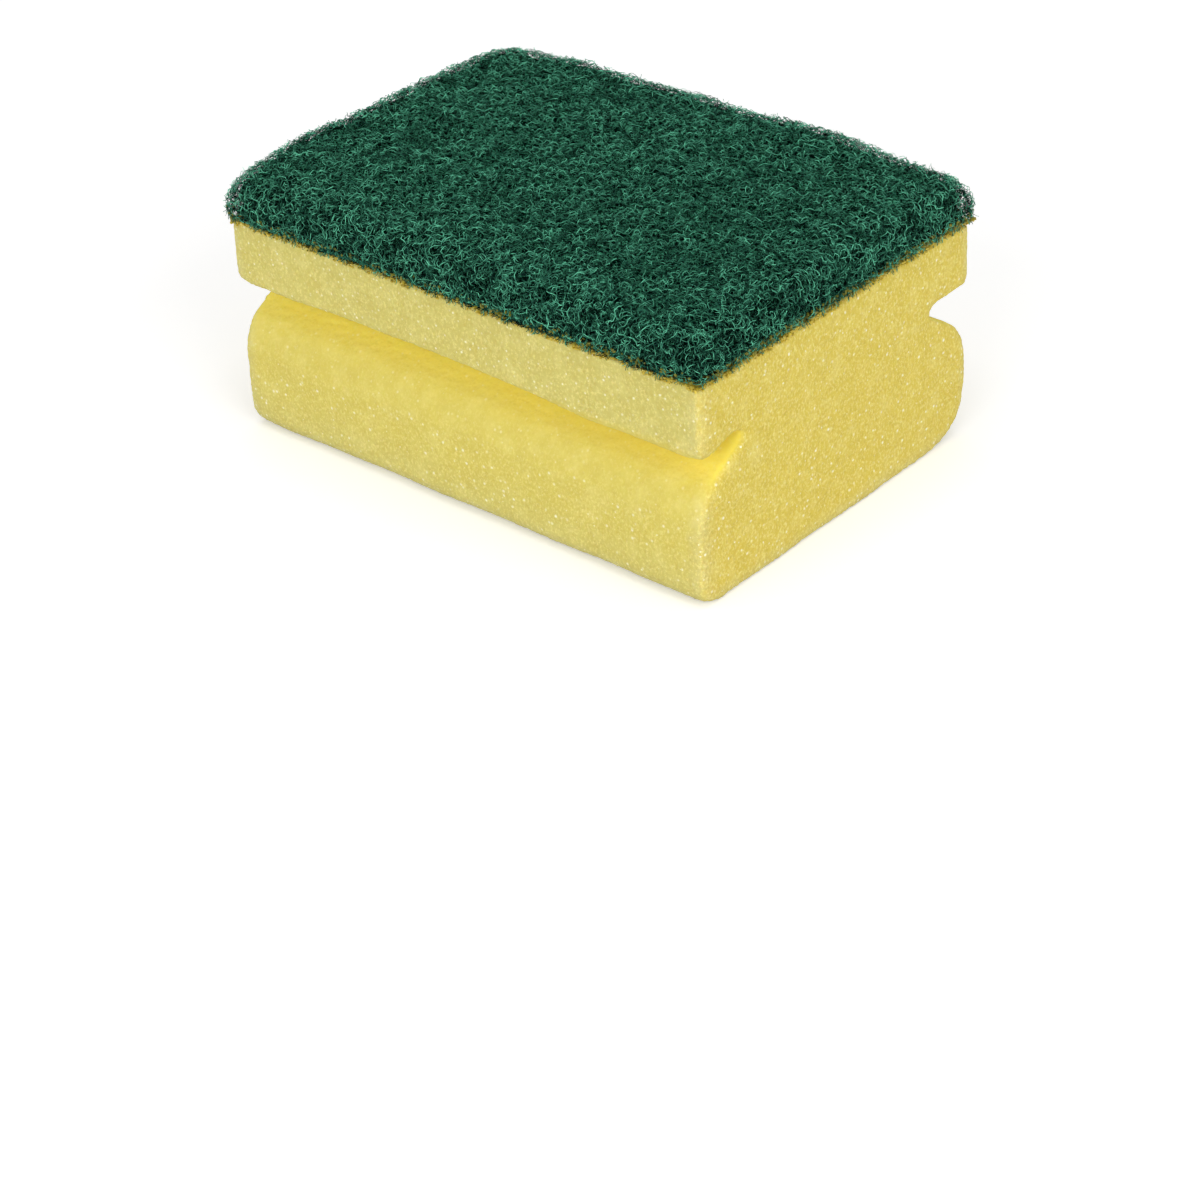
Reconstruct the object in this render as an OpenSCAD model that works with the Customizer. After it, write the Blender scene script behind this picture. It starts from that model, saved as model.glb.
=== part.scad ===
// A household scouring sponge, lying on its foam side.
// The foam block has a grip groove along each long side, and a non-woven
// scouring pad is glued to its top. X runs along the grooves, Y across them
// and Z up. The origin is the middle of the foam's underside.

/* [Foam block] */
// Length along the grip grooves
block_l = 95; // [75:1:120]
// Width across the grip grooves, at the lip under the pad
block_w = 66; // [54:1:84]
// Height of the foam under the pad
foam_h = 36.5; // [30:0.5:50]
// Radius of the bottom edge on the near side
near_bottom_r = 3.5; // [1:0.5:8]
// Radius of the bottom edge on the far side
far_bottom_r = 8; // [1:0.5:10]

/* [Grip grooves] */
// Thickness of the lip between the pad and a groove
lip_h = 10.8; // [8:0.1:14]
// Depth of a groove, from the side of the block
groove_d = 9.5; // [8:0.5:14]
// Radius of a groove's closed end
groove_end_r = 1.15; // [0.8:0.05:1.6]
// Slope of a groove's floor
groove_floor_angle = 32; // [24:1:36]
// Radius of the shoulder that the floor runs over
shoulder_r = 7.5; // [5:0.5:9]
// Radius of the lip's lower edge
lip_edge_r = 1; // [0.5:0.1:2.5]
// Distance that the body stands out past the lip on the near side
near_swell = 0.6; // [-1:0.1:1.5]
// Distance that the body stands out past the lip on the far side
far_swell = -0.5; // [-1:0.1:1.5]

/* [Glue film] */
// Thickness of the glue film between the foam and the pad
glue_t = 0.3; // [0.1:0.05:0.6]
// Distance from the glue film's edge to the side of the foam
glue_inset = 0.2; // [0:0.1:2]

/* [Scouring pad] */
// Thickness of the pad at its middle
pad_h = 9; // [6:0.5:12]
// Distance that the pad stands out past the lip of the foam
pad_overhang = 0.8; // [0:0.1:2]
// Radius of the pad's upright corners
pad_corner_r = 2.5; // [1:0.5:4]
// Width of the rounding along the pad's top edge
pad_roll_w = 4; // [3:0.5:10]
// Height of that rounding
pad_roll_h = 2.4; // [1.6:0.2:4]
// Loss of thickness at the pad's corners
corner_droop = 2.2; // [0:0.1:3]

/* [Web of the pad] */
// Distance between the points of the pad's uneven surface
web_step = 1.5; // [1.3:0.1:4]
// Depth of the small hollows between tangled fibres
web_relief = 0.8; // [0:0.1:1.5]
// Depth of the wide, shallow hollows where the web is thinner
hollow_depth = 1; // [0:0.1:1.5]
// Distance between those wide hollows
hollow_gap = 9; // [5:1:30]
// Depth of the ragged hollows in the pad's sides
web_fray = 0.7; // [0:0.1:1.2]

/* [Hidden] */

// Smoothness of the round stretches
arc_fn = 96;
// Spare reach of a cutting shape past the surface that it cuts
past = 1;
// Half the width of the blank that the block's section is cut from
blank_half = block_w / 2 + 2;

// Height of a groove's flat roof, which is the underside of the lip
roof_z = foam_h - lip_h;
// Middle of the round end of a groove, from the lip's side
groove_end = [groove_d - groove_end_r, roof_z - groove_end_r];
// Where the floor leaves that round end
floor_top = groove_end + groove_end_r * [sin(groove_floor_angle), -cos(groove_floor_angle)];
// Middle of the shoulder's arc, which touches both the floor and the body's side
function shoulder(swell) =
    let (
        in = shoulder_r - swell,
        drop = (shoulder_r + sin(groove_floor_angle) * (floor_top[0] - in)) / cos(groove_floor_angle)
    )
    [in, floor_top[1] - drop];

// Heights of the glue film and the pad above the floor
glue_z = foam_h;
pad_z = glue_z + glue_t;

// Half the pad's length and width
pad_half = [block_l / 2 + pad_overhang, block_w / 2 + pad_overhang];
// Random numbers from 0 to 1 that roughen the web, the same at every build
grain_count = 4001;
grain = rands(0, 1, grain_count, 26);
// Shares of the side wall's height at which its rings of points lie
wall_shares = [0.68, 0.34, 0];

// Material that is cut away along one side, with the lip's side at x = 0
module side_cut(swell, bottom_r) {
    turn = shoulder(swell);
    // Where the groove's floor runs onto the shoulder
    foot = turn + shoulder_r * [-sin(groove_floor_angle), cos(groove_floor_angle)];
    outer = block_w / 2 - blank_half - past;
    // Beside the lip and the body, and the groove from its roof down to the shoulder
    difference() {
        polygon([
            [outer, foam_h + past],
            [0, foam_h + past],
            [0, roof_z],
            [groove_end[0], roof_z],
            groove_end,
            floor_top,
            foot,
            [foot[0], turn[1]],
            [-swell, turn[1]],
            [-swell, -past],
            [outer, -past]
        ]);
        translate(turn) circle(r = shoulder_r, $fn = arc_fn);
    }
    // Closed end of the groove
    translate(groove_end) circle(r = groove_end_r, $fn = arc_fn);
    // Lower edge of the lip
    translate([0, roof_z]) corner_cut(lip_edge_r);
    // Bottom edge of the body
    translate([-swell, 0]) corner_cut(bottom_r);
}

// What rounding takes off a corner at the origin
module corner_cut(r) {
    difference() {
        translate([-past, -past]) square(r + past);
        translate([r, r]) circle(r = r, $fn = arc_fn);
    }
}

// Section of the foam block across the grooves, in Y and Z
module block_section() {
    difference() {
        translate([-blank_half, 0]) square([2 * blank_half, foam_h]);
        translate([-block_w / 2, 0]) side_cut(near_swell, near_bottom_r);
        mirror([1, 0]) translate([-block_w / 2, 0]) side_cut(far_swell, far_bottom_r);
    }
}

module foam_block() {
    color([0.9, 0.81, 0.36])
        rotate([90, 0, 90])
        linear_extrude(block_l, center = true)
        block_section();
}

module glue_film() {
    film = [block_l - 2 * glue_inset, block_w - 2 * glue_inset, glue_t];
    color([0.78, 0.6, 0.16])
        translate([-film[0] / 2, -film[1] / 2, glue_z])
        cube(film);
}

// Lines of the pad's grid from one edge to the other: close together over the
// rounding of the edge, and about web_step apart between
function grid_lines(half) =
    let (
        roll = [for (share = [0, 0.07, 0.22, 0.45, 0.72]) share * pad_roll_w],
        flat = 2 * (half - pad_roll_w),
        cells = max(2, round(flat / web_step))
    )
    concat(
        [for (s = roll) -half + s],
        [for (k = [0:cells]) -half + pad_roll_w + k * flat / cells],
        [for (k = [len(roll) - 1:-1:0]) half - roll[k]]
    );

xs = grid_lines(pad_half[0]);
ys = grid_lines(pad_half[1]);

// How far a place lies past a corner's middle, for a corner of radius r
function past_corner(p, r) = [abs(p[0]) - pad_half[0] + r, abs(p[1]) - pad_half[1] + r];

// A place of the square grid, moved so that the grid's corners become round
function rounded(p) =
    let (c = past_corner(p, pad_corner_r))
    min(c) <= 0 ? p :
        let (pull = 1 - max(c) / norm(c))
        [p[0] - sign(p[0]) * c[0] * pull, p[1] - sign(p[1]) * c[1] * pull];

// Random number from 0 to 1 that belongs to one grid point
function grain_at(i, j) = grain[(i * 61 + j * 257) % grain_count];

// The same, blended smoothly between grid points
function ease(t) = t * t * (3 - 2 * t);
function blend(a, b, t) = a + (b - a) * t;
function hollows(p) =
    let (i = floor(p[0]), j = floor(p[1]), u = ease(p[0] - i), v = ease(p[1] - j))
    blend(
        blend(grain_at(i, j), grain_at(i + 1, j), u),
        blend(grain_at(i, j + 1), grain_at(i + 1, j + 1), u),
        v
    );

// How far the top lies below the pad's full thickness, without the small hollows
function droop(p) =
    let (
        c = past_corner(p, pad_roll_w) / pad_roll_w,
        s = norm([max(0, c[0]), max(0, c[1])])
    )
    pad_roll_h * (1 - sqrt(1 - pow(min(1, s), 2)))
        + corner_droop * pow(abs(p[0]) / pad_half[0], 4) * pow(abs(p[1]) / pad_half[1], 4)
        + hollow_depth * hollows((p + pad_half) / hollow_gap);

function top_point(i, j) =
    let (p = [xs[i], ys[j]], q = rounded(p))
    [q[0], q[1], pad_z + pad_h - droop(p) - web_relief * grain_at(i, j)];

// Places of the grid along its edge, once around, anticlockwise from above
function around() = concat(
    [for (i = [0:len(xs) - 2]) [i, 0]],
    [for (j = [0:len(ys) - 2]) [len(xs) - 1, j]],
    [for (i = [len(xs) - 1:-1:1]) [i, len(ys) - 1]],
    [for (j = [len(ys) - 1:-1:1]) [0, j]]
);

// A point of the pad's side wall below a place of the edge
function wall_point(place, level) =
    let (
        top = top_point(place[0], place[1]),
        c = past_corner([xs[place[0]], ys[place[1]]], pad_corner_r),
        out = min(c) <= 0
            ? (c[0] > c[1] ? [sign(top[0]), 0] : [0, sign(top[1])])
            : [sign(top[0]) * max(c[0], 0), sign(top[1]) * max(c[1], 0)] / norm(c),
        hollow = web_fray * grain_at(place[0] + 7 * level, place[1] + 3 * level)
    )
    [
        top[0] - out[0] * hollow,
        top[1] - out[1] * hollow,
        pad_z + (top[2] - pad_z) * wall_shares[level - 1]
    ];

// The tangled web, as one uneven slab with a rolled edge and ragged sides
module scouring_pad() {
    rim = around();
    ny = len(ys);
    grid_count = len(xs) * ny;
    rim_count = len(rim);
    levels = len(wall_shares);
    points = concat(
        [for (i = [0:len(xs) - 1]) for (j = [0:ny - 1]) top_point(i, j)],
        [for (level = [1:levels]) for (place = rim) wall_point(place, level)]
    );
    // Number of a point on the rim or on a ring of the wall below it
    function on_wall(level, k) = level == 0
        ? rim[k % rim_count][0] * ny + rim[k % rim_count][1]
        : grid_count + (level - 1) * rim_count + k % rim_count;
    top_faces = [
        for (i = [0:len(xs) - 2]) for (j = [0:ny - 2]) each [
            [i * ny + j, i * ny + j + 1, (i + 1) * ny + j + 1],
            [i * ny + j, (i + 1) * ny + j + 1, (i + 1) * ny + j]
        ]
    ];
    wall_faces = [
        for (level = [0:levels - 1]) for (k = [0:rim_count - 1]) each [
            [on_wall(level, k), on_wall(level, k + 1), on_wall(level + 1, k + 1)],
            [on_wall(level, k), on_wall(level + 1, k + 1), on_wall(level + 1, k)]
        ]
    ];
    underside = [for (k = [0:rim_count - 1]) on_wall(levels, k)];
    color([0.1, 0.36, 0.27])
        polyhedron(points = points, faces = concat(top_faces, wall_faces, [underside]));
}

foam_block();
glue_film();
scouring_pad();
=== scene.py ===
"""A cleaning sponge: a grooved foam block, a glue film and a scouring pad of tangled fibres.

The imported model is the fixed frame. Each soft solid in it is replaced by a piece that has the
same form and the surface of the real material. All lengths in the dataclasses are millimetres.
"""

from __future__ import annotations

import logging
import math
import random
from bisect import bisect
from collections.abc import Callable, Iterable, Sequence
from dataclasses import dataclass, field
from enum import Enum
from itertools import accumulate
from typing import Union

import bmesh
import bpy
from mathutils import Matrix, Vector, noise
from mathutils.bvhtree import BVHTree


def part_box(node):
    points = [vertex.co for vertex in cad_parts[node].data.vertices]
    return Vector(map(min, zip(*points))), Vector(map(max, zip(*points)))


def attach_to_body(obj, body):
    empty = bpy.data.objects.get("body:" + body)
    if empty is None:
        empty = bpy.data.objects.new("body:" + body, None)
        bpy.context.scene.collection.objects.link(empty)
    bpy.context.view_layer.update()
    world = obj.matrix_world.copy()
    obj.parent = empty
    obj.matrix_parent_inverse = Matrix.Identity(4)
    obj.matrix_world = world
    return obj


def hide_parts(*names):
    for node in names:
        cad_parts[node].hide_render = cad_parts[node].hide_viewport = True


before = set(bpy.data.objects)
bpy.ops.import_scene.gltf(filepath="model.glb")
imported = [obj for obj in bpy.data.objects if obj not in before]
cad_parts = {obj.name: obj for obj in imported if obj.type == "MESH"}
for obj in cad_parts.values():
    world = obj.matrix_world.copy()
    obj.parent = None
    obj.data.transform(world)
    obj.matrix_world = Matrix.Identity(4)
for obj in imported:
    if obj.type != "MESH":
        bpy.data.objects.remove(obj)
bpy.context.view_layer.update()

log = logging.getLogger("sponge")

MM = 0.001

Colour = tuple[float, float, float]
Corner = tuple[float, float]


# Shader expressions


def srgb(red: int, green: int, blue: int) -> Colour:
    """Linear colour of a display colour.

    Args:
        red: Red, from 0 to 255.
        green: Green, from 0 to 255.
        blue: Blue, from 0 to 255.

    Returns:
        The three linear components.
    """

    def linear(value: int) -> float:
        """Linear share of one display value."""
        share = value / 255
        return share / 12.92 if share <= 0.04045 else ((share + 0.055) / 1.055) ** 2.4

    return linear(red), linear(green), linear(blue)


class Wire:
    """A node's output that takes part in Python arithmetic."""

    def __init__(self, paint: Paint, socket: bpy.types.NodeSocket) -> None:
        """Keeps the tree it belongs to and the socket it stands for."""
        self.paint = paint
        self.socket = socket

    def __add__(self, other: Term) -> Wire:
        """Sum."""
        return self.paint.math("ADD", self, other)

    def __sub__(self, other: Term) -> Wire:
        """Difference."""
        return self.paint.math("SUBTRACT", self, other)

    def __mul__(self, other: Term) -> Wire:
        """Product."""
        return self.paint.math("MULTIPLY", self, other)

    def __truediv__(self, other: Term) -> Wire:
        """Quotient."""
        return self.paint.math("DIVIDE", self, other)

    def __radd__(self, other: Term) -> Wire:
        """Sum with a number on the left."""
        return self.paint.math("ADD", other, self)

    def __rsub__(self, other: Term) -> Wire:
        """Difference from a number on the left."""
        return self.paint.math("SUBTRACT", other, self)

    def __rmul__(self, other: Term) -> Wire:
        """Product with a number on the left."""
        return self.paint.math("MULTIPLY", other, self)

    def clamp(self) -> Wire:
        """The value, kept between 0 and 1."""
        return self.paint.math("MINIMUM", self.paint.math("MAXIMUM", self, 0.0), 1.0)

    def above(self, level: float) -> Wire:
        """1 where the value is over level, and 0 elsewhere."""
        return self.paint.math("GREATER_THAN", self, level)

    def step(self, low: float, high: float) -> Wire:
        """A smooth rise from 0 at low to 1 at high.

        Args:
            low: Value at which the rise starts.
            high: Value at which it ends.

        Returns:
            The risen value.
        """
        found = self.paint.node(
            "ShaderNodeMapRange",
            {"interpolation_type": "SMOOTHSTEP"},
            {"Value": self, "From Min": low, "From Max": high},
        )
        return self.paint.out(found, "Result")


Term = Union[Wire, float]


class Paint:
    """A material's node tree, with one method for every kind of node."""

    def __init__(self, name: str) -> None:
        """Makes an empty material of that name with its output node."""
        self.material = bpy.data.materials.new(name)
        self.material.use_nodes = True
        self.tree = self.material.node_tree
        self.tree.nodes.clear()
        self.output = self.tree.nodes.new("ShaderNodeOutputMaterial")

    def node(
        self, kind: str, settings: dict[str, object], values: dict[str | int, object]
    ) -> bpy.types.Node:
        """Adds a node.

        Args:
            kind: Blender's name for the type of node.
            settings: Options of the node, such as its operation.
            values: Each socket's number, colour, vector or link.

        Returns:
            The new node.
        """
        made = self.tree.nodes.new(kind)
        for key, value in settings.items():
            setattr(made, key, value)
        for key, value in values.items():
            if isinstance(value, Wire):
                self.tree.links.new(value.socket, made.inputs[key])
            else:
                made.inputs[key].default_value = value
        return made

    def out(self, node: bpy.types.Node, name: str | int = 0) -> Wire:
        """A node's output as a wire."""
        return Wire(self, node.outputs[name])

    def math(self, operation: str, left: Term, right: Term) -> Wire:
        """Works out one operation on two numbers."""
        return self.out(self.node("ShaderNodeMath", {"operation": operation}, {0: left, 1: right}))

    def mix(self, share: Term, low: Wire | Colour, high: Wire | Colour) -> Wire:
        """Blends two colours.

        Args:
            share: 0 gives low, and 1 gives high.
            low: The first colour.
            high: The second colour.

        Returns:
            The blend.
        """
        values = [c if isinstance(c, Wire) else (*c, 1.0) for c in (low, high)]
        made = self.node(
            "ShaderNodeMix",
            {"data_type": "RGBA", "clamp_factor": True},
            {0: share, 6: values[0], 7: values[1]},
        )
        return self.out(made, 2)

    def place(self) -> Wire:
        """The place on the piece, in millimetres."""
        metres = self.out(self.node("ShaderNodeTexCoord", {}, {}), "Object")
        scaled = self.node(
            "ShaderNodeVectorMath", {"operation": "SCALE"}, {0: metres, "Scale": 1 / MM}
        )
        return self.out(scaled)

    def noise(self, place: Wire, size: float, detail: float = 2.0, rough: float = 0.5) -> Wire:
        """Cloudy noise from 0 to 1.

        Args:
            place: Where it is read, in millimetres.
            size: Width of its features, in millimetres.
            detail: Number of finer octaves.
            rough: Strength of each finer octave.

        Returns:
            The noise.
        """
        made = self.node(
            "ShaderNodeTexNoise",
            {},
            {"Vector": place, "Scale": 1 / size, "Detail": detail, "Roughness": rough},
        )
        return self.out(made, 0)

    def cells(self, place: Wire, size: float) -> tuple[Wire, Wire]:
        """Rounded cells packed side by side.

        Args:
            place: Where they are read, in millimetres.
            size: Width of a cell, in millimetres.

        Returns:
            The distance from a cell's middle, as a share of its width, and its random colour.
        """
        made = self.node("ShaderNodeTexVoronoi", {}, {"Vector": place, "Scale": 1 / size})
        return self.out(made, "Distance"), self.out(made, "Color")

    def borders(self, place: Wire, size: float) -> Wire:
        """Distance from the borders between cells of that width, as a share of it."""
        settings = {"feature": "DISTANCE_TO_EDGE"}
        made = self.node("ShaderNodeTexVoronoi", settings, {"Vector": place, "Scale": 1 / size})
        return self.out(made, "Distance")

    def stretch(self, place: Wire, shares: Sequence[float]) -> Wire:
        """A place with each of its parts multiplied by a share."""
        return self.out(
            self.node("ShaderNodeVectorMath", {"operation": "MULTIPLY"}, {0: place, 1: shares})
        )

    def shift(self, place: Wire, push: Wire, reach: float) -> Wire:
        """A place moved by a vector times a reach."""
        made = self.node(
            "ShaderNodeVectorMath",
            {"operation": "MULTIPLY_ADD"},
            {0: push, 1: (reach, reach, reach), 2: place},
        )
        return self.out(made)

    def split(self, colour: Wire) -> tuple[Wire, Wire, Wire]:
        """The three parts of a vector or a colour."""
        made = self.node("ShaderNodeSeparateXYZ", {}, {0: colour})
        return self.out(made, 0), self.out(made, 1), self.out(made, 2)

    def bump(self, height: Wire, depth: float, strength: float = 1.0) -> Wire:
        """Turns a height into a normal.

        Args:
            height: Height, where 1 stands for depth.
            depth: Real height of one unit, in millimetres.
            strength: Share of the effect that shows.

        Returns:
            The normal.
        """
        made = self.node(
            "ShaderNodeBump", {}, {"Height": height, "Distance": depth * MM, "Strength": strength}
        )
        return self.out(made)

    def surface(self, values: dict[str | int, object]) -> bpy.types.Material:
        """Ends the tree in one Principled shader.

        Args:
            values: Its sockets' values and links.

        Returns:
            The finished material.
        """
        shader = self.node("ShaderNodeBsdfPrincipled", {}, values)
        self.tree.links.new(shader.outputs[0], self.output.inputs["Surface"])
        return self.material


# Finishes


@dataclass(frozen=True)
class FoamFinish:
    """Matt yellow open-cell foam: fine pores and streaks, glinting cell walls, painted light and
    shade.
    """

    half: Corner
    roof: float
    colour: Colour = srgb(218, 202, 98)
    # groove: painted light, the brighter and more saturated yellow of light bounced in the grooves
    groove: Colour = srgb(251, 232, 98)
    # Painted shade: a darker, greyer colour on the lip under the pad and low down, also a faint
    # mottle
    painted_shade_and_mottle: Colour = srgb(209, 198, 111)
    end: Colour = srgb(220, 198, 86)
    pore: Colour = srgb(196, 170, 66)
    light: Colour = srgb(243, 231, 150)
    # edge: painted light, a pale band along the upright edges; the same colour pales the foot
    edge: Colour = srgb(209, 202, 142)
    glint: Colour = srgb(255, 253, 220)
    cell: float = 0.7
    glint_cell: float = 1.05

    def material(self) -> bpy.types.Material:
        """Builds the foam's material."""
        paint = Paint("foam")
        place = paint.place()
        x, y, z = paint.split(place)
        in_x = self.half[0] - paint.math("ABSOLUTE", x, 0.0)
        in_y = self.half[1] - paint.math("ABSOLUTE", y, 0.0)
        away = in_x.step(0.2, 1.0)
        below_lip = 1.0 - z.step(self.roof - 0.6, self.roof)
        band = z.step(self.roof - 11.0, self.roof - 6.0) * below_lip
        # Painted light: the grooves take a brighter, more saturated yellow for light bounced inside
        # them
        groove = band * in_y.step(-0.5, 6.5) * away
        colour = self._broad_colour(paint, place, in_x, in_y, z)
        colour = paint.mix(groove, colour, self.groove)
        calm = z.step(self.roof - 15.0, self.roof - 8.0) * below_lip
        grain = (1.0 - 0.65 * calm * away) * (1.0 - 0.2 * away)
        fine, _ = paint.cells(place, self.cell)
        streak = paint.noise(paint.stretch(place, (1.0, 1.0, 0.75)), 0.42, 3.0, 0.75)
        hole = 1.0 - fine.step(0.1, 0.55)
        dark = (hole * 0.22 + 0.9 * (0.5 - streak).clamp()) * grain
        colour = paint.mix(dark, colour, self.pore)
        colour = paint.mix(streak.step(0.48, 0.66) * 0.7 * grain, colour, self.light)
        spot, spot_colour = paint.cells(place, self.glint_cell)
        chance, size, strength = paint.split(spot_colour)
        reach = 0.15 + 0.2 * size
        often = chance.above(0.2) * (1.0 - spot.above(0.38))
        shine = often * (1.0 - (spot / reach).step(0.3, 1.0)) * (0.25 + 0.75 * strength) * grain
        colour = paint.mix(shine, colour, self.glint)
        height = fine.step(0.0, 0.6) + streak * 1.3
        return paint.surface(
            {
                "Base Color": colour,
                "Roughness": 0.75 - 0.4 * shine,
                "Specular IOR Level": 0.3,
                "Subsurface Weight": 0.35,
                "Subsurface Radius": (1.0, 0.75, 0.22),
                "Subsurface Scale": 0.003,
                "Normal": paint.bump(height * grain, 0.09, 0.9),
            }
        )

    def _broad_colour(self, paint: Paint, place: Wire, in_x: Wire, in_y: Wire, z: Wire) -> Wire:
        """The foam's colour without its cells and grooves.

        Args:
            paint: The material.
            place: Where it is read.
            in_x: Distance in from an end.
            in_y: Distance in from a side.
            z: Height.

        Returns:
            A colour with painted shade on the lip and low down, painted light on the upright edges,
            a pale foot.
        """
        cloud = paint.noise(place, 8.0, 3.0, 0.6)
        lip = z.step(self.roof - 0.6, self.roof + 1.0)
        low = 1.0 - z.step(0.0, 11.0)
        away = in_x.step(0.2, 1.0)
        # Painted shade: darker and greyer on the lip under the pad and low down, over a faint
        # random mottle
        colour = paint.mix((lip + low) * away + cloud * 0.25, self.colour, self.painted_shade_and_mottle)
        colour = paint.mix(1.0 - away, colour, self.end)
        blot = paint.noise(place, 3.2, 2.0, 0.6)
        colour = paint.mix((0.5 - blot).clamp() * 0.8, colour, self.pore)
        colour = paint.mix((blot - 0.5).clamp() * 1.2, colour, self.light)
        # Painted light: a pale band along the upright edges, where light scatters out of the foam;
        # the foot is paler too
        patch = paint.noise(place, 1.6, 2.0, 0.6).step(0.25, 0.65)
        corner = (1.0 - in_x.step(-0.5, 3.6)) * (1.0 - in_y.step(-0.9, 3.6))
        foot = (1.0 - z.step(0.4, 3.4)) * 0.7
        pale = paint.math("MAXIMUM", corner, foot)
        return paint.mix(pale * (0.45 + 0.55 * patch) * 0.65, colour, self.edge)


@dataclass(frozen=True)
class GlueFinish:
    """Set amber glue, glossy and patchy."""

    base: float
    colour: Colour = srgb(216, 192, 64)
    deep: Colour = srgb(170, 148, 34)
    pale: Colour = srgb(236, 222, 128)
    raised: Colour = srgb(92, 100, 26)

    def material(self) -> bpy.types.Material:
        """Builds the glue's material."""
        paint = Paint("glue")
        place = paint.place()
        patch = paint.noise(place, 1.1, 3.0, 0.6)
        colour = paint.mix(patch.step(0.35, 0.6), self.deep, self.colour)
        colour = paint.mix(patch.step(0.58, 0.75), colour, self.pale)
        _, _, z = paint.split(place)
        colour = paint.mix(z.step(self.base + 0.3, self.base + 1.6) * 0.85, colour, self.raised)
        return paint.surface(
            {
                "Base Color": colour,
                "Roughness": 0.28 + 0.3 * patch,
                "Normal": paint.bump(paint.noise(place, 0.5, 2.0), 0.25, 0.7),
            }
        )


@dataclass(frozen=True)
class WebFinish:
    """The inside of the pad: short stretches of crossing fibres over dark gaps of painted shade."""

    # The gap and deep colours are painted shade: the dark between the fibres and the dimmer fibres
    # lower down
    painted_gap_shade: Colour = srgb(0, 10, 7)
    deep: Colour = srgb(4, 48, 34)
    fibre: Colour = srgb(100, 204, 160)
    layers: tuple[float, ...] = (2.1, 1.7, 1.9, 2.3)
    width: Corner = (0.05, 0.13)

    def material(self) -> bpy.types.Material:
        """Builds the inner web's material."""
        paint = Paint("web_inside")
        place = paint.place()
        bend = paint.node("ShaderNodeTexNoise", {}, {"Vector": place, "Scale": 0.9, "Detail": 2.0})
        colour: Wire | Colour = self.painted_gap_shade
        height: Term = 0.0
        # Painted shade: lower layers and the hidden stretches of each line are painted darker, over
        # near-black gaps
        for i, size in enumerate(self.layers):
            moved = paint.shift(place, paint.out(bend, "Color"), 1.5 + 1.3 * i)
            line = 1.0 - (paint.borders(moved, size) * size).step(*self.width)
            shown = paint.noise(moved, 0.8, 1.0).step(0.36, 0.6)
            shade = shown * shown * (0.3 + 0.15 * i)
            thread = paint.mix(shade, self.deep, self.fibre)
            colour = paint.mix(line * (0.15 + 0.85 * shown), colour, thread)
            height = height * 0.7 + line * shown
        return paint.surface(
            {
                "Base Color": colour,
                "Roughness": 0.8,
                "Specular IOR Level": 0.0,
                "Normal": paint.bump(height, 0.3, 1.0),
            }
        )


@dataclass(frozen=True)
class FibreFinish:
    """Dark green synthetic fibre. Its map holds a random shade across and its depth up."""

    shades: int
    # low and mid are painted shade for fibres lower in the pad; high is a painted highlight on the
    # upper ones
    low: Colour = srgb(0, 20, 14)
    mid: Colour = srgb(2, 58, 40)
    high: Colour = srgb(126, 236, 192)
    cool: Colour = srgb(46, 104, 98)

    def material(self) -> bpy.types.Material:
        """Builds the fibres' material."""
        paint = Paint("web_fibre")
        across, depth, _ = paint.split(paint.out(paint.node("ShaderNodeUVMap", {}, {})))
        level = paint.math("FLOOR", across * float(self.shades), 0.0) / float(self.shades)
        # Painted shade and highlight: fibres are painted darker with depth, and upper ones take a
        # painted highlight by their tone
        colour = paint.mix(depth.step(0.6, 0.86), self.low, self.mid)
        colour = paint.mix(level * level * depth.step(0.6, 0.85), colour, self.high)
        odd = paint.math("FRACT", level * 7.0, 0.0)
        colour = paint.mix(odd.above(0.85) * depth * 0.6, colour, self.cool)
        return paint.surface({"Base Color": colour, "Roughness": 0.5, "Specular IOR Level": 0.05})


# Mesh helpers


def add_object(name: str, data: bpy.types.ID) -> bpy.types.Object:
    """Makes an object of a mesh, a curve, a light or a camera and puts it in the scene."""
    made = bpy.data.objects.new(name, data)
    bpy.context.scene.collection.objects.link(made)
    return made


def new_piece(name: str, bm: bmesh.types.BMesh, material: bpy.types.Material) -> bpy.types.Object:
    """Turns a bmesh into an object at the origin.

    Args:
        name: The piece's name.
        bm: Its mesh, which is freed.
        material: Its finish.

    Returns:
        The new object.
    """
    mesh = bpy.data.meshes.new(name)
    bm.to_mesh(mesh)
    bm.free()
    mesh.materials.append(material)
    return add_object(name, mesh)


def remeshed(bm: bmesh.types.BMesh, voxel: float) -> bmesh.types.BMesh:
    """The same closed shape in even, nearly square faces.

    Args:
        bm: The shape, which is freed.
        voxel: Width of a face, in millimetres.

    Returns:
        The new bmesh.
    """
    rough = new_piece("remesh_source", bm, bpy.data.materials.new("remesh_source"))
    change = rough.modifiers.new("voxels", "REMESH")
    change.mode = "VOXEL"
    change.voxel_size = voxel * MM
    bpy.context.view_layer.update()
    found = rough.evaluated_get(bpy.context.evaluated_depsgraph_get())
    made = bmesh.new()
    made.from_mesh(found.to_mesh())
    found.to_mesh_clear()
    discard(rough)
    return made


def soften(
    bm: bmesh.types.BMesh, verts: Sequence[bmesh.types.BMVert], times: int, factor: float = 0.5
) -> None:
    """Smooths some of a mesh's points.

    Args:
        bm: The mesh.
        verts: The points that move.
        times: How many times they are smoothed.
        factor: Share of the way to the middle of its neighbours that a point moves.
    """
    for _ in range(times):
        bmesh.ops.smooth_vert(
            bm, verts=verts, factor=factor, use_axis_x=True, use_axis_y=True, use_axis_z=True
        )


def smooth_rise(value: float, low: float, high: float) -> float:
    """A smooth rise from 0 where the value is low to 1 where it is high."""
    share = min(max((value - low) / (high - low), 0.0), 1.0)
    return share * share * (3.0 - 2.0 * share)


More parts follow.
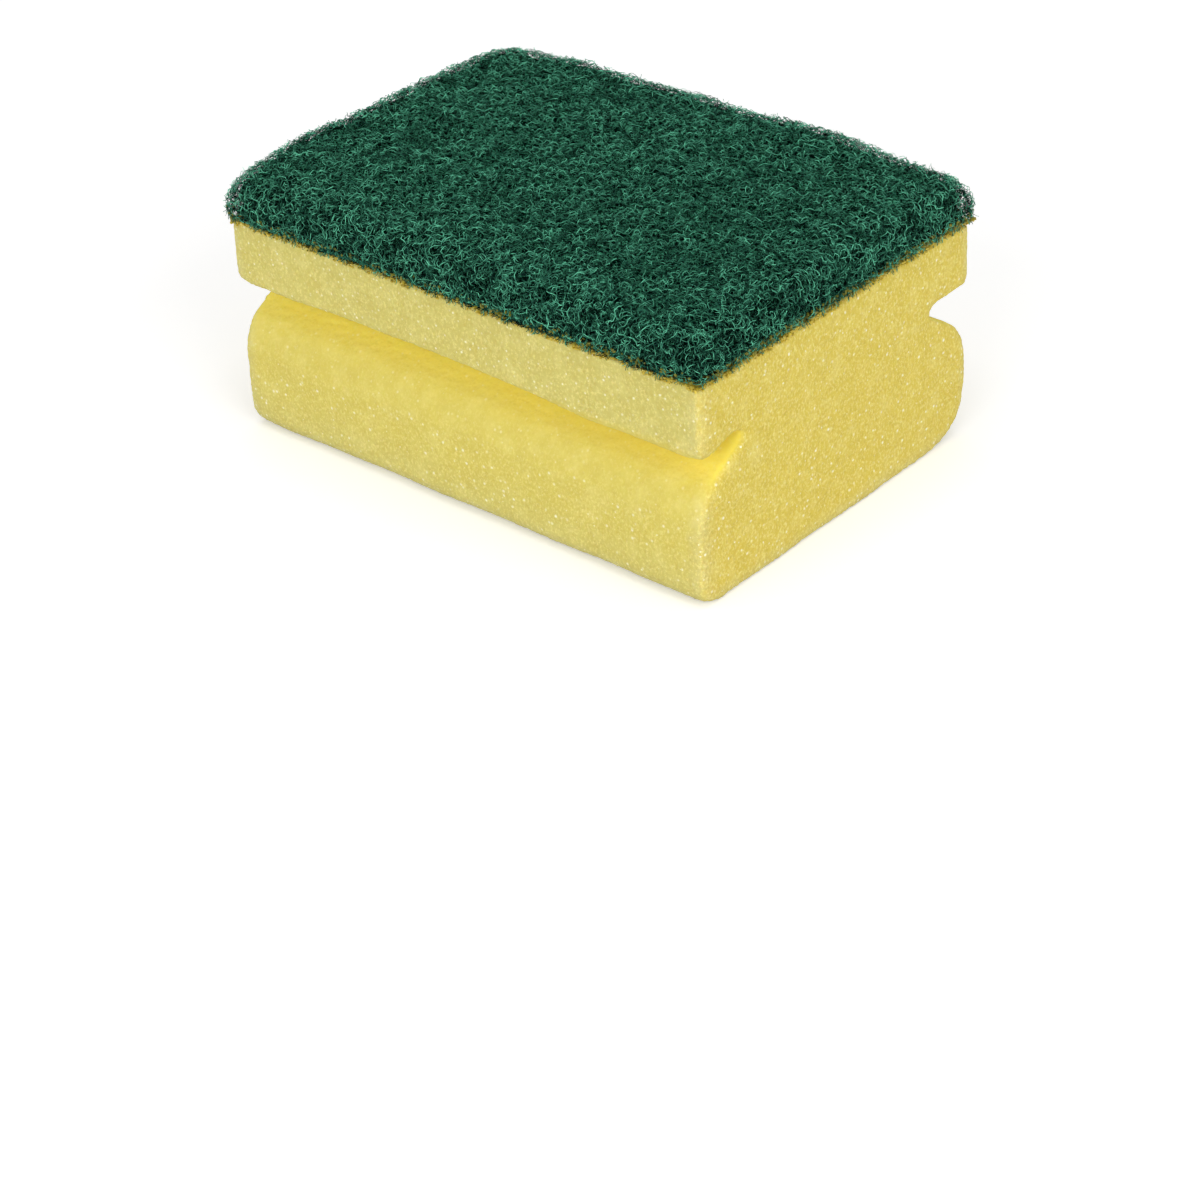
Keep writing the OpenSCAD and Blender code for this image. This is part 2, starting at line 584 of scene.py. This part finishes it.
def random_vector(rng: random.Random) -> Vector:
    """A vector whose three parts are drawn around zero."""
    return Vector((rng.gauss(0, 1), rng.gauss(0, 1), rng.gauss(0, 1)))


def discard(made: bpy.types.Object) -> None:
    """Removes a helper object with its mesh and its materials."""
    data = made.data
    materials = [m for m in data.materials if m]
    bpy.data.objects.remove(made)
    (bpy.data.curves if isinstance(data, bpy.types.Curve) else bpy.data.meshes).remove(data)
    for material in materials:
        bpy.data.materials.remove(material)


def flatten_inside(bm: bmesh.types.BMesh, inside: Callable[[Vector], bool], up: float) -> None:
    """Swaps the hidden small faces of a flat side for one large face.

    Args:
        bm: The mesh.
        inside: Says whether a place lies on the hidden part.
        up: 1 for a side that faces up, and -1 for one that faces down.
    """
    bm.normal_update()
    hidden = [
        f for f in bm.faces if f.normal.z * up > 0.98 and all(inside(v.co) for v in f.verts)
    ]
    bmesh.ops.delete(bm, geom=hidden, context="FACES")
    rim = [e for e in bm.edges if e.is_boundary]
    bmesh.ops.holes_fill(bm, edges=rim, sides=0)


def attach(made: bpy.types.Object, nodes: Iterable[str] = ()) -> bpy.types.Object:
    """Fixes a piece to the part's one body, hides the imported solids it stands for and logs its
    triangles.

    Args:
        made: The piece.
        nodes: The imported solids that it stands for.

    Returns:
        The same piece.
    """
    made.data.update()
    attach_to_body(made, "root")
    if nodes:
        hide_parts(*nodes)
    triangles = sum(len(p.vertices) - 2 for p in made.data.polygons)
    log.info("%s: %d triangles", made.name, triangles)
    return made


# Foam block


@dataclass
class FoamBlock:
    """The yellow block: a lip under the pad, a groove along each long side, and a round body."""

    length: float = 95.0
    width: float = 66.0
    height: float = 36.5
    lip_height: float = 10.8
    groove_depth: float = 9.5
    groove_end_radius: float = 1.15
    floor_slope: float = math.radians(32)
    shoulder_radius: float = 7.5
    lip_edge_radius: float = 1.0
    near_swell: float = 0.6
    far_swell: float = -0.5
    near_bottom_radius: float = 3.5
    far_bottom_radius: float = 8.0
    voxel: float = 0.5
    cell: float = 1.1
    cell_depth: float = 0.14
    grain_depth: float = 0.1
    wave: float = 0.25
    lip_sag: float = 1.3
    smooths: int = 3
    end_smooths: int = 16
    end_band: float = 2.6
    hidden_rim: float = 2.2

    def build(self) -> bpy.types.Object:
        """Makes the block with its cellular surface.

        Returns:
            The finished piece.
        """
        bm = self._solid()
        bm = remeshed(bm, self.voxel)
        soften(bm, bm.verts[:], self.smooths)
        end = (self.length / 2 - self.end_band) * MM
        soften(bm, [v for v in bm.verts if abs(v.co.x) > end], self.end_smooths)
        self._thin_hidden_sides(bm)
        self._roughen(bm)
        for face in bm.faces:
            face.smooth = len(face.verts) <= 4
        finish = FoamFinish((self.length / 2, self.width / 2), self.height - self.lip_height)
        made = new_piece("sponge_foam_block", bm, finish.material())
        attach(made, ["foam_block"])
        return made

    def _side_corners(self, swell: float, bottom_radius: float) -> list[tuple[Corner, float]]:
        """Lists one side's corners from the bottom up, measured in from the lip's side.

        Args:
            swell: Distance that the body stands out past the lip.
            bottom_radius: Radius of the bottom edge.

        Returns:
            Each corner with the width of its bevel.
        """
        roof = self.height - self.lip_height
        slope = self.floor_slope
        end_in = self.groove_depth - self.groove_end_radius
        foot = self.groove_end_radius / math.tan(slope / 2)
        tip_in = end_in + foot
        shoulder_z = roof - (tip_in + swell) * math.tan(slope)
        turn = math.pi / 2 - slope
        return [
            ((-swell, 0.0), bottom_radius),
            ((-swell, shoulder_z), self.shoulder_radius * math.tan(turn / 2)),
            ((tip_in, roof), foot),
            ((0.0, roof), self.lip_edge_radius),
            ((0.0, self.height), 0.0),
        ]

    def _solid(self) -> bmesh.types.BMesh:
        """The block's smooth form: its sharp section, drawn out along X and then bevelled."""
        half = self.width / 2
        near = self._side_corners(self.near_swell, self.near_bottom_radius)
        far = self._side_corners(self.far_swell, self.far_bottom_radius)
        outline = [((-half + d, z), w) for (d, z), w in near]
        outline += [((half - d, z), w) for (d, z), w in reversed(far)]
        bm = bmesh.new()
        ring = [bm.verts.new((-self.length / 2 * MM, y * MM, z * MM)) for (y, z), _ in outline]
        end = bm.faces.new(ring)
        drawn = bmesh.ops.extrude_face_region(bm, geom=[end])
        moved = [v for v in drawn["geom"] if isinstance(v, bmesh.types.BMVert)]
        bmesh.ops.translate(bm, verts=moved, vec=(self.length * MM, 0, 0))
        bmesh.ops.recalc_face_normals(bm, faces=bm.faces[:])
        for (y, z), width in outline:
            if width:
                self._round_edge(bm, y * MM, z * MM, width * MM)
        return bm

    @staticmethod
    def _round_edge(bm: bmesh.types.BMesh, y: float, z: float, width: float) -> None:
        """Rounds the long edge that runs through a corner of the section."""
        edges = [
            e
            for e in bm.edges
            if all(abs(v.co.y - y) < 1e-7 and abs(v.co.z - z) < 1e-7 for v in e.verts)
        ]
        bmesh.ops.bevel(
            bm,
            geom=edges,
            offset=width,
            offset_type="OFFSET",
            affect="EDGES",
            segments=14,
            profile=0.5,
            material=-1,
        )

    def _thin_hidden_sides(self, bm: bmesh.types.BMesh) -> None:
        """Leaves one large face under the pad and one on the underside."""
        half_x, half_y, rim = self.length / 2, self.width / 2, self.hidden_rim

        def under_pad(co: Vector) -> bool:
            """True for a place on the top, in from its rim."""
            near = abs(co.x) < (half_x - rim) * MM and abs(co.y) < (half_y - rim) * MM
            return near and co.z > (self.height - 0.2) * MM

        def underside(co: Vector) -> bool:
            """True for a place on the flat of the underside, in from its rounded edges."""
            low, high = -half_y + self.near_bottom_radius + 1, half_y - self.far_bottom_radius - 1
            near = abs(co.x) < (half_x - rim) * MM and low * MM < co.y < high * MM
            return near and co.z < 0.2 * MM

        flatten_inside(bm, under_pad, 1)
        flatten_inside(bm, underside, -1)

    def _roughen(self, bm: bmesh.types.BMesh) -> None:
        """Moves the surface in and out by its cells and by long, faint waves."""
        bm.normal_update()
        moves: list[tuple[bmesh.types.BMVert, Vector]] = []
        for vert in bm.verts:
            place = vert.co / MM
            near = noise.voronoi(place / self.cell)[0]
            pit = min(near[0] / 0.55, 1.0) - 0.6
            fine = noise.noise(place * 2.3)
            long = noise.noise(place / 11.0 + Vector((3, 8, 5)))
            height = self.cell_depth * pit + self.grain_depth * fine + self.wave * long
            if vert.normal.z > 0.8 and place.z > self.height - 0.5:
                height = min(0.0, 0.3 * height)
            if place.z < 0.3:
                height = min(0.0, height) * 0.5
            sag = Vector((0, 0, -self._sag(place)))
            moves.append((vert, vert.co + (vert.normal * height + sag) * MM))
        for vert, co in moves:
            vert.co = co
            vert.co.z = max(vert.co.z, 0.0)

    def _sag(self, place: Vector) -> float:
        """How far the near lip hangs down at a place, which is most at its corner."""
        roof = self.height - self.lip_height
        if place.z < roof - 0.6:
            return 0.0
        along = smooth_rise(place.x, 2.0, 30.0)
        out = smooth_rise(-place.y, self.width / 2 - 8.0, self.width / 2 - 2.0)
        kept = smooth_rise(place.z, roof + 0.5, roof + 7.0)
        return self.lip_sag * along * out * (1.0 - kept)


# Glue film


@dataclass
class GlueFilm:
    """The glue between foam and pad: an uneven sheet that swells into beads along its rim."""

    base: float
    half: Corner
    thickness: float = 0.3
    step: float = 0.8
    rim: float = 4.0
    fray: float = 0.35
    seed: int = 5
    beads: int = 3000
    bead_radius: Corner = (0.09, 0.22)
    bead_rise: float = 2.6

    def build(self) -> bpy.types.Object:
        """Makes the film.

        Returns:
            The finished piece.
        """
        bm = bmesh.new()
        across = [max(2, round(2 * h / self.step)) for h in self.half]
        bmesh.ops.create_grid(bm, x_segments=across[0], y_segments=across[1], size=1.0)
        bmesh.ops.scale(bm, verts=bm.verts[:], vec=(self.half[0] * MM, self.half[1] * MM, 1))
        bmesh.ops.translate(bm, verts=bm.verts[:], vec=(0, 0, self.base * MM))
        self._fray(bm)
        raised = bmesh.ops.extrude_face_region(bm, geom=bm.faces[:])
        top = [v for v in raised["geom"] if isinstance(v, bmesh.types.BMVert)]
        bmesh.ops.translate(bm, verts=top, vec=(0, 0, self.thickness * MM))
        bmesh.ops.recalc_face_normals(bm, faces=bm.faces[:])
        middle = (self.base + 0.1) * MM
        flatten_inside(bm, lambda co: self._inward(co) > self.rim and co.z > middle, 1)
        flatten_inside(bm, lambda co: self._inward(co) > self.rim and co.z < middle, -1)
        self._add_beads(bm)
        for face in bm.faces:
            face.smooth = len(face.verts) <= 3
        made = new_piece("sponge_glue_film", bm, GlueFinish(self.base).material())
        return attach(made, ["glue_film"])

    def _inward(self, co: Vector) -> float:
        """Distance in from the film's edge, in millimetres."""
        return min(self.half[0] - abs(co.x) / MM, self.half[1] - abs(co.y) / MM)

    def _fray(self, bm: bmesh.types.BMesh) -> None:
        """Moves the film's outline in and out."""
        for vert in bm.verts:
            if vert.is_boundary:
                push = self.fray * noise.noise(vert.co / MM / 1.3) - 0.1
                if self.half[0] - abs(vert.co.x) / MM < 0.01:
                    vert.co.x += math.copysign(push, vert.co.x) * MM
                if self.half[1] - abs(vert.co.y) / MM < 0.01:
                    vert.co.y += math.copysign(push, vert.co.y) * MM

    def _add_beads(self, bm: bmesh.types.BMesh) -> None:
        """Adds the small beads of glue that show between the ends of the fibres."""
        rng = random.Random(self.seed)
        long_x, long_y = (2 * h for h in self.half)
        made = 0
        while made < self.beads:
            along = rng.uniform(0, 2 * (long_x + long_y))
            if along < 2 * long_x:
                x, y = along % long_x - self.half[0], math.copysign(self.half[1], along - long_x)
            else:
                along -= 2 * long_x
                x, y = math.copysign(self.half[0], along - long_y), along % long_y - self.half[1]
            rise = self.bead_rise * rng.random() ** 2 - 0.35
            out = rng.uniform(-0.1, 0.9) if rise < 0.4 else rng.uniform(0.6, 1.3)
            out = min(out, 0.25 + max(rise, 0.0))
            side_x = math.copysign(out, x) if abs(x) == self.half[0] else 0.0
            side_y = math.copysign(out, y) if abs(y) == self.half[1] else 0.0
            place = Vector((x + side_x, y + side_y, self.base + rise))
            crowd = noise.noise(place / 2.6) + 0.6 * noise.noise(place / 1.1)
            if crowd < rng.uniform(-0.45, 0.5):
                continue
            size = rng.uniform(*self.bead_radius) * MM
            turn = Matrix.Rotation(rng.uniform(0, 6.28), 4, Vector((rng.random(), rng.random(), 1)))
            shape = Matrix.Diagonal((size * rng.uniform(0.8, 1.9), size, size * 0.8, 1.0))
            spot = Matrix.Translation(place * MM) @ turn @ shape
            bmesh.ops.create_cube(bm, size=1.5, matrix=spot)
            made += 1


# Scouring pad


class Zone(Enum):
    """Which stretch of the pad's skin a batch of fibres starts on."""

    ALL = "all"
    EDGE = "edge"
    RIM = "rim"


class Lay(Enum):
    """How a batch of fibres lies."""

    CRIMPED = "crimped"
    TIPS = "tips"


@dataclass
class Batch:
    """One piece of tangled fibre, which starts on one zone at a depth between deep and shallow."""

    name: str
    count: int
    zone: Zone
    seed: int
    deep: float
    shallow: float
    lay: Lay = Lay.CRIMPED
    points: int = 10
    stride: float = 0.55
    weave: float = 0.3
    crimp: float = 0.7
    curl: Corner = (0.35, 0.9)
    radius: Corner = (0.035, 0.054)
    shade: Corner = (0.25, 1.0)
    tuft: int = 1


@dataclass
class Skin:
    """The pad's smoothed outer surface, with ways to draw places on it and to find the nearest."""

    bottom: float
    edge_width: float = 5.0
    rim_width: float = 2.0
    rim_height: float = 2.6
    tree: BVHTree = field(init=False)
    faces: list[tuple[Vector, Vector, Vector]] = field(init=False)
    box: tuple[Vector, Vector] = field(init=False)

    def __post_init__(self) -> None:
        """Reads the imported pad, merges and smooths it, and leaves its underside out."""
        self.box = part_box("scouring_pad")
        bm = self.form()
        bmesh.ops.triangulate(bm, faces=bm.faces[:])
        bm.normal_update()
        open_faces = [f for f in bm.faces if f.normal.z > -0.5]
        self.faces = [tuple(v.co.copy() for v in f.verts) for f in open_faces]
        points = [co for face in self.faces for co in face]
        self.tree = BVHTree.FromPolygons(
            points, [(3 * i, 3 * i + 1, 3 * i + 2) for i in range(len(self.faces))]
        )
        bm.free()

    @staticmethod
    def form(smooths: int = 4, swell: float = 0.25) -> bmesh.types.BMesh:
        """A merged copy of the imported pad, smoothed and then swollen a little.

        Args:
            smooths: How many times it is smoothed.
            swell: How far its open surface then moves out, in millimetres.

        Returns:
            The copy.
        """
        bm = bmesh.new()
        bm.from_mesh(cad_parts["scouring_pad"].data)
        bmesh.ops.remove_doubles(bm, verts=bm.verts[:], dist=1e-6)
        bm.normal_update()
        under = {v for f in bm.faces if f.normal.z < -0.98 for v in f.verts}
        soft = [v for v in bm.verts if v not in under]
        soften(bm, soft, smooths, 0.4)
        bm.normal_update()
        for vert in soft:
            vert.co += vert.normal * swell * MM
        return bm

    def holds(self, zone: Zone, co: Vector) -> bool:
        """True for a place in that zone: near the rolled edge, or low on the sides."""
        low, high = self.box
        inward = min(co.x - low.x, high.x - co.x, co.y - low.y, high.y - co.y)
        if zone is Zone.EDGE:
            return inward < self.edge_width * MM
        if zone is Zone.RIM:
            return inward < self.rim_width * MM and co.z < (self.bottom + self.rim_height) * MM
        return True

    def draw(self, zone: Zone, count: int, rng: random.Random) -> list[Vector]:
        """Random places on the skin, even by area.

        Args:
            zone: The stretch of skin.
            count: How many places.
            rng: Source of chance.

        Returns:
            The places.
        """
        wanted = [f for f in self.faces if self.holds(zone, (f[0] + f[1] + f[2]) / 3)]
        areas = list(accumulate((b - a).cross(c - a).length for a, b, c in wanted))
        picks = [(i + rng.random()) / count * areas[-1] for i in range(count)]
        places = []
        for a, b, c in (wanted[min(bisect(areas, pick), len(wanted) - 1)] for pick in picks):
            u, v = sorted((rng.random(), rng.random()))
            places.append(a * u + b * (v - u) + c * (1 - v))
        return places


@dataclass
class ScouringPad:
    """The green pad: a dark inner web, and batches of curled fibres that make its skin."""

    bottom: float
    web_voxel: float = 1.1
    inset: float = 0.55
    edge_inset: float = 2.2
    shades: int = 32
    drift: float = 0.2
    sides: int = 3
    scatter: float = 0.28
    clear: float = 0.7
    reach_down: float = 0.4
    lowest: float = -1.8
    map_span: float = 2.4
    batches: tuple[Batch, ...] = (
        Batch("pad_fibres_bed", 2000, Zone.ALL, 11, -0.6, -0.1),
        Batch("pad_fibres_middle", 3450, Zone.ALL, 12, -0.35, 0.1),
        Batch("pad_fibres_crown", 3450, Zone.ALL, 13, -0.15, 0.3),
        Batch("pad_fibres_edge", 3450, Zone.EDGE, 14, -1.2, 0.45, radius=(0.044, 0.064)),
        Batch(
            "pad_tufts_rim", 2100, Zone.RIM, 15, -0.1, 0.4,
            Lay.TIPS, points=4, stride=0.36, shade=(0.1, 0.8), tuft=6,
        ),
        Batch("pad_tips_edge", 800, Zone.EDGE, 16, -0.1, 0.4, Lay.TIPS, points=5, stride=0.2),
    )

    def build(self) -> list[bpy.types.Object]:
        """Makes the inner web and every batch of fibres.

        Returns:
            The finished pieces.
        """
        skin = Skin(self.bottom)
        made = [self._inner_web(skin)]
        finish = FibreFinish(self.shades).material()
        profile = self._profile()
        for batch in self.batches:
            made.append(self._fibres(batch, skin, profile, finish))
        discard(profile)
        return made

    def _inner_web(self, skin: Skin) -> bpy.types.Object:
        """The dense inside of the pad, a little way in from its skin."""
        bm = remeshed(skin.form(), self.web_voxel)
        bm.normal_update()
        for vert in bm.verts:
            rough = 0.5 * noise.noise(vert.co / MM / 1.7) + 0.3 * noise.noise(vert.co / MM / 0.9)
            inset = self.inset + self.edge_inset * (1.0 - abs(vert.normal.z))
            vert.co -= vert.normal * (inset + rough) * MM
            vert.co.z = max(vert.co.z, (self.bottom + 0.05) * MM)
        for face in bm.faces:
            face.smooth = True
        made = new_piece("pad_inner_web", bm, WebFinish().material())
        attach(made, ["scouring_pad"])
        return made

    def _profile(self) -> bpy.types.Object:
        """The fibres' cross section: a ring with a few sides and a radius of one millimetre."""
        curve = bpy.data.curves.new("fibre_section", "CURVE")
        spline = curve.splines.new("POLY")
        spline.points.add(self.sides - 1)
        for i, point in enumerate(spline.points):
            turn = 2 * math.pi * i / self.sides
            point.co = (math.cos(turn) * MM, math.sin(turn) * MM, 0, 1)
        spline.use_cyclic_u = True
        return add_object("fibre_section", curve)

    def _crimped(self, start: Vector, batch: Batch, skin: Skin, rng: random.Random) -> list[Vector]:
        """The path of a fibre that bends to and fro over the skin and weaves in and out of it.

        Args:
            start: Where it starts on the skin.
            batch: Its batch.
            skin: The pad's skin.
            rng: Source of chance.

        Returns:
            The path's points, each with its depth as a fourth number.
        """
        depth = rng.uniform(batch.deep, batch.shallow)
        phase, pace = rng.uniform(0, 6.28), rng.uniform(1.0, 2.0)
        bend = rng.choice((-1, 1)) / rng.uniform(*batch.curl)
        heading = random_vector(rng)
        here, path = start, []
        for i in range(batch.points):
            spot, normal, _, _ = skin.tree.find_nearest(here)
            lift = depth + batch.weave * math.sin(phase + pace * i)
            above = spot.z / MM - self.bottom
            lift = min(lift, 0.3 * above)
            co = spot + normal * lift * MM
            co.z = max(co.z, (self.bottom + self.clear + 0.02 * (i % 2)) * MM)
            path.append(Vector((*co, lift)))
            if above < 0.5:
                heading.z = abs(heading.z) + 0.1
            heading -= normal * heading.dot(normal)
            if heading.length < 0.1:
                heading = normal.orthogonal()
            heading.normalize()
            if rng.random() < 0.3:
                bend = rng.choice((-1, 1)) / rng.uniform(*batch.curl)
            turn = bend * batch.stride * 0.6 + rng.gauss(0, batch.crimp)
            heading.rotate(Matrix.Rotation(turn, 3, normal))
            here = spot + heading * batch.stride * MM
        return path

    def _tip(self, start: Vector, batch: Batch, skin: Skin, rng: random.Random) -> list[Vector]:
        """The path of a cut fibre end that stands out of the skin and hangs a little at the rim.

        Args:
            start: Where it leaves the skin.
            batch: Its batch.
            skin: The pad's skin.
            rng: Source of chance.

        Returns:
            The path's points, each with its depth as a fourth number.
        """
        spot, normal, _, _ = skin.tree.find_nearest(start)
        lift = rng.uniform(batch.deep, batch.shallow)
        hangs = batch.zone is Zone.RIM
        side = random_vector(rng) * 0.5
        if hangs:
            spot.z = (self.bottom + rng.uniform(self.clear, 1.5)) * MM
            heading = (normal * 0.15 + side * 0.7 + Vector((0, 0, -1))).normalized()
        else:
            heading = (normal * 0.6 + side).normalized()
        swing = random_vector(rng) * 0.35
        here, path = spot + normal * lift * MM, []
        floor = (self.bottom - rng.uniform(0.1, self.reach_down)) * MM
        for _ in range(batch.points):
            here.z = max(here.z, floor)
            path.append(Vector((*here, lift)))
            here = here + heading * batch.stride * MM
            lift += max(heading.dot(normal), -0.2) * batch.stride
            heading = (heading + swing).normalized()
        return path

    def _fibres(
        self, batch: Batch, skin: Skin, profile: bpy.types.Object, finish: bpy.types.Material
    ) -> bpy.types.Object:
        """One batch of fibres as a single mesh of thin closed tubes.

        Args:
            batch: What to make.
            skin: The pad's skin.
            profile: The tubes' cross section.
            finish: Their material.

        Returns:
            The finished piece.
        """
        rng = random.Random(batch.seed)
        trace = self._tip if batch.lay is Lay.TIPS else self._crimped
        starts = [
            start + random_vector(rng) * self.scatter * MM
            for start in skin.draw(batch.zone, batch.count // batch.tuft, rng)
            for _ in range(batch.tuft)
        ]
        paths = [trace(start, batch, skin, rng) for start in starts]
        curve = bpy.data.curves.new(batch.name, "CURVE")
        curve.dimensions = "3D"
        for path in paths:
            spline = curve.splines.new("POLY")
            spline.points.add(batch.points - 1)
            radius = rng.uniform(*batch.radius)
            spline.points.foreach_set("co", [x for p in path for x in (p.x, p.y, p.z, 1.0)])
            spline.points.foreach_set("radius", [radius] * batch.points)
        curve.bevel_mode = "OBJECT"
        curve.bevel_object = profile
        curve.use_fill_caps = False
        source = add_object(batch.name + "_paths", curve)
        bpy.context.view_layer.update()
        tubes = source.evaluated_get(bpy.context.evaluated_depsgraph_get())
        bm = bmesh.new()
        bm.from_mesh(tubes.to_mesh())
        tubes.to_mesh_clear()
        discard(source)
        bmesh.ops.holes_fill(bm, edges=[e for e in bm.edges if e.is_boundary], sides=0)
        bmesh.ops.recalc_face_normals(bm, faces=bm.faces[:])
        mesh = bpy.data.meshes.new(batch.name)
        bm.to_mesh(mesh)
        bm.free()
        self._map(mesh, batch, [p.w for path in paths for p in path], rng)
        mesh.materials.append(finish)
        return attach(add_object(batch.name, mesh))

    def _map(
        self, mesh: bpy.types.Mesh, batch: Batch, lifts: list[float], rng: random.Random
    ) -> None:
        """Maps each stretch of fibre: the column is its shade and the height is its depth.

        Args:
            mesh: The tubes.
            batch: What they were made from.
            lifts: The depth of each point of each path.
            rng: Source of chance.
        """
        ring = self.sides
        points = batch.points
        if len(mesh.vertices) != len(lifts) * ring:
            raise ValueError(f"{mesh.name} has {len(mesh.vertices)} points for {len(lifts)} places")
        columns = []
        for _ in range(len(lifts) // points):
            shade = rng.uniform(*batch.shade)
            drift = [min(max(shade + rng.gauss(0, self.drift), 0.0), 1.0) for _ in range(points)]
            columns += [int(share * (self.shades - 1)) for share in drift]
        while mesh.uv_layers:
            mesh.uv_layers.remove(mesh.uv_layers[0])
        layer = mesh.uv_layers.new(name="OFBake")
        spots = []
        for loop in mesh.loops:
            index = loop.vertex_index
            across = (0.2, 0.5, 0.8)[index % ring % 3]
            height = min(max((lifts[index // ring] - self.lowest) / self.map_span, 0.02), 0.98)
            spots += [(columns[index // ring] + across) / self.shades, height]
        layer.uv.foreach_set("vector", spots)
        for face in mesh.polygons:
            face.use_smooth = face.loop_total == 4


# Studio


@dataclass(frozen=True)
class Lamp:
    """A large square lamp that faces the sponge from a bearing, a height angle and a distance."""

    name: str
    bearing: float
    height: float
    distance: float
    size: float
    power: float


@dataclass
class Studio:
    """A white floor, soft light from all round with large lamps, and the photograph's camera."""

    focal: float = 2931.71
    image_width: float = 1200.0
    place: tuple[float, float, float] = (277.892, -307.028, 233.41)
    azimuth: float = math.radians(42.507)
    elevation: float = math.radians(32.8)
    roll: float = math.radians(-3.255)
    floor_half: float = 4000.0
    sky: float = 0.45
    lamps: tuple[Lamp, ...] = (
        Lamp("left_light", 8, 21, 1200, 900, 6.5),
        Lamp("right_light", 78, 24, 1200, 900, 6.5),
        Lamp("top_light", 0, 88, 1500, 1200, 5.0),
    )

    def build(self) -> None:
        """Makes the floor, the lights, the world and the camera."""
        self._floor()
        self._world()
        for lamp in self.lamps:
            self._light(lamp)
        self._camera()
        bpy.context.scene.view_settings.view_transform = "Standard"

    def _floor(self) -> None:
        """A pale floor that keeps the shadow and is white to the camera."""
        bm = bmesh.new()
        bmesh.ops.create_grid(bm, x_segments=1, y_segments=1, size=self.floor_half * MM)
        paint = Paint("floor")
        seen = paint.out(paint.node("ShaderNodeLightPath", {}, {}), "Is Camera Ray")
        colour = paint.mix(seen, (0.7, 0.7, 0.7), (0.95, 0.95, 0.95))
        material = paint.surface(
            {
                "Base Color": colour,
                "Roughness": 0.9,
                "Specular IOR Level": 0.0,
                "Emission Color": paint.mix(seen, (0.0, 0.0, 0.0), (0.25, 0.25, 0.25)),
                "Emission Strength": 1.0,
            }
        )
        new_piece("floor", bm, material)

    def _world(self) -> None:
        """Even white light from all round, with a white background for the camera."""
        world = bpy.data.worlds.new("studio")
        bpy.context.scene.world = world
        world.use_nodes = True
        tree = world.node_tree
        tree.nodes.clear()
        path = tree.nodes.new("ShaderNodeLightPath")
        either = tree.nodes.new("ShaderNodeMath")
        either.operation = "MAXIMUM"
        tree.links.new(path.outputs["Is Camera Ray"], either.inputs[0])
        tree.links.new(path.outputs["Is Transmission Ray"], either.inputs[1])
        light, shown = (tree.nodes.new("ShaderNodeBackground") for _ in range(2))
        light.inputs["Color"].default_value = (1.0, 1.0, 1.0, 1.0)
        light.inputs["Strength"].default_value = self.sky
        shown.inputs["Color"].default_value = (1.0, 1.0, 1.0, 1.0)
        choice = tree.nodes.new("ShaderNodeMixShader")
        tree.links.new(either.outputs[0], choice.inputs[0])
        tree.links.new(light.outputs[0], choice.inputs[1])
        tree.links.new(shown.outputs[0], choice.inputs[2])
        output = tree.nodes.new("ShaderNodeOutputWorld")
        tree.links.new(choice.outputs[0], output.inputs[0])

    @staticmethod
    def direction(azimuth: float, elevation: float) -> Vector:
        """Unit vector towards a bearing, taken from -Y towards +X, and a height, in radians."""
        level = math.cos(elevation)
        return Vector((math.sin(azimuth) * level, -math.cos(azimuth) * level, math.sin(elevation)))

    def _light(self, lamp: Lamp) -> None:
        """Places one lamp."""
        data = bpy.data.lights.new(lamp.name, "AREA")
        data.size = lamp.size * MM
        data.energy = lamp.power
        made = add_object(lamp.name, data)
        way = self.direction(math.radians(lamp.bearing), math.radians(lamp.height))
        made.location = way * lamp.distance * MM
        made.rotation_euler = way.to_track_quat("Z", "Y").to_euler()

    def _camera(self) -> None:
        """The camera that took the photograph, from the fit to its corner points."""
        back = self.direction(self.azimuth, self.elevation)
        right = Vector((0, 0, 1)).cross(back).normalized()
        up = back.cross(right)
        level = math.cos(self.roll) * right + math.sin(self.roll) * up
        upright = -math.sin(self.roll) * right + math.cos(self.roll) * up
        turn = Matrix((level, upright, back)).transposed().to_4x4()
        data = bpy.data.cameras.new("camera")
        data.sensor_width = 36.0
        data.lens = self.focal * data.sensor_width / self.image_width
        data.clip_start, data.clip_end = 0.01, 20.0
        made = add_object("camera", data)
        made.matrix_world = Matrix.Translation(Vector(self.place) * MM) @ turn
        bpy.context.scene.camera = made


def main() -> None:
    """Builds every piece in order."""
    logging.basicConfig(level=logging.INFO, format="%(name)s: %(message)s")
    foam = FoamBlock()
    foam.build()
    GlueFilm(foam.height, (foam.length / 2 - 0.1, foam.width / 2 - 0.1)).build()
    pad_low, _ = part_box("scouring_pad")
    ScouringPad(pad_low.z / MM).build()
    Studio().build()


if __name__ == "__main__":
    main()
